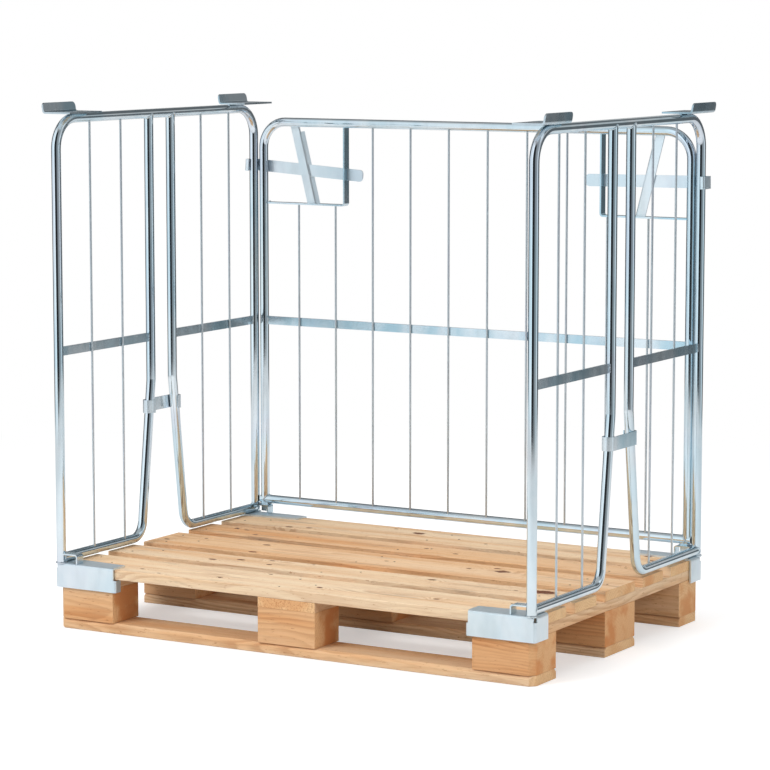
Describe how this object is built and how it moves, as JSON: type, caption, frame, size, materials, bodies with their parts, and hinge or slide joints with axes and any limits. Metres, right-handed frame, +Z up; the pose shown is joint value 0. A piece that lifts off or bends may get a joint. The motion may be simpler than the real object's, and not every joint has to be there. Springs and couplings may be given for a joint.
{
  "type": "pallet container",
  "caption": "Wooden pallet with two bent-tube end frames in corner shoes and a drop-in wire back panel held by sliding latches; open front, stacking corners.",
  "frame": {"origin": "middle of the pallet's underside, on the middle skid board's lower face", "axes": "+X along the pallet's 1200 mm side to the right end frame, +Y to the back panel, +Z up; -Y is the open front"},
  "size_m": [1.2516, 0.8385, 1.173],
  "materials": {
    "pine": "raw sawn pine, pale, with knots and nail heads",
    "zinc_tube": "bright blue-passivated zinc plate on steel tube",
    "zinc_wire": "bright zinc plate on drawn wire",
    "zinc_sheet": "satin blue-white zinc plate on folded sheet and strap",
    "dull_zinc_sheet": "grey zinc plate on folded sheet"
  },
  "bodies": {
    "cage": {"deck_board_front": "pine", "deck_board_front_narrow": "pine", "deck_board_middle": "pine", "deck_board_rear_narrow": "pine", "deck_board_rear": "pine", "cross_board_left": "pine", "cross_board_middle": "pine", "cross_board_right": "pine", "block_front_left": "pine", "block_front_middle": "pine", "block_front_right": "pine", "block_middle_left": "pine", "block_centre": "pine", "block_middle_right": "pine", "block_rear_left": "pine", "block_rear_middle": "pine", "block_rear_right": "pine", "skid_board_front": "pine", "skid_board_middle": "pine", "skid_board_rear": "pine", "left_outer_tube": "zinc_tube", "left_front_inner_tube": "zinc_tube", "left_rear_inner_tube": "zinc_tube", "left_front_cross_bar": "zinc_sheet", "left_rear_cross_bar": "zinc_sheet", "left_wires": "zinc_wire", "left_front_shoe": "zinc_sheet", "left_rear_shoe": "zinc_sheet", "left_front_socket": "zinc_sheet", "left_rear_socket": "zinc_sheet", "left_front_stacking_bracket": "dull_zinc_sheet", "left_rear_stacking_bracket": "dull_zinc_sheet", "right_outer_tube": "zinc_tube", "right_front_inner_tube": "zinc_tube", "right_rear_inner_tube": "zinc_tube", "right_front_cross_bar": "zinc_sheet", "right_rear_cross_bar": "zinc_sheet", "right_wires": "zinc_wire", "right_front_shoe": "zinc_sheet", "right_rear_shoe": "zinc_sheet", "right_front_socket": "zinc_sheet", "right_rear_socket": "zinc_sheet", "right_front_stacking_bracket": "dull_zinc_sheet", "right_rear_stacking_bracket": "dull_zinc_sheet"},
    "back_panel": {"panel_frame_tube": "zinc_tube", "panel_bottom_tube": "zinc_tube", "panel_cross_bar": "zinc_sheet", "panel_wires": "zinc_wire", "panel_left_tab": "zinc_sheet", "panel_right_tab": "zinc_sheet", "panel_left_corner_strip": "zinc_sheet", "panel_right_corner_strip": "zinc_sheet", "panel_left_brace": "zinc_sheet", "panel_right_brace": "zinc_sheet"},
    "left_latch": {"left_latch_bar": "zinc_sheet"},
    "right_latch": {"right_latch_bar": "zinc_sheet"},
    "left_clip": {"left_tie_clip": "zinc_sheet"},
    "right_clip": {"right_tie_clip": "zinc_sheet"}
  },
  "joints": [
    {"name": "back_panel_lift", "type": "slide", "parent": "cage", "child": "back_panel", "axis": [0, 0, 1], "range_m": [0, 0.04]},
    {"name": "left_latch_slide", "type": "slide", "parent": "back_panel", "child": "left_latch", "axis": [-0.9978, 0, 0.0663], "range_m": [0, 0.02]},
    {"name": "right_latch_slide", "type": "slide", "parent": "back_panel", "child": "right_latch", "axis": [0.9999, 0, 0.0122], "range_m": [0, 0.02]},
    {"name": "left_clip_slide", "type": "slide", "parent": "cage", "child": "left_clip", "axis": [0, 0, 1], "range_m": [0, 0.13]},
    {"name": "right_clip_slide", "type": "slide", "parent": "cage", "child": "right_clip", "axis": [0, 0, 1], "range_m": [0, 0.13]}
  ]
}
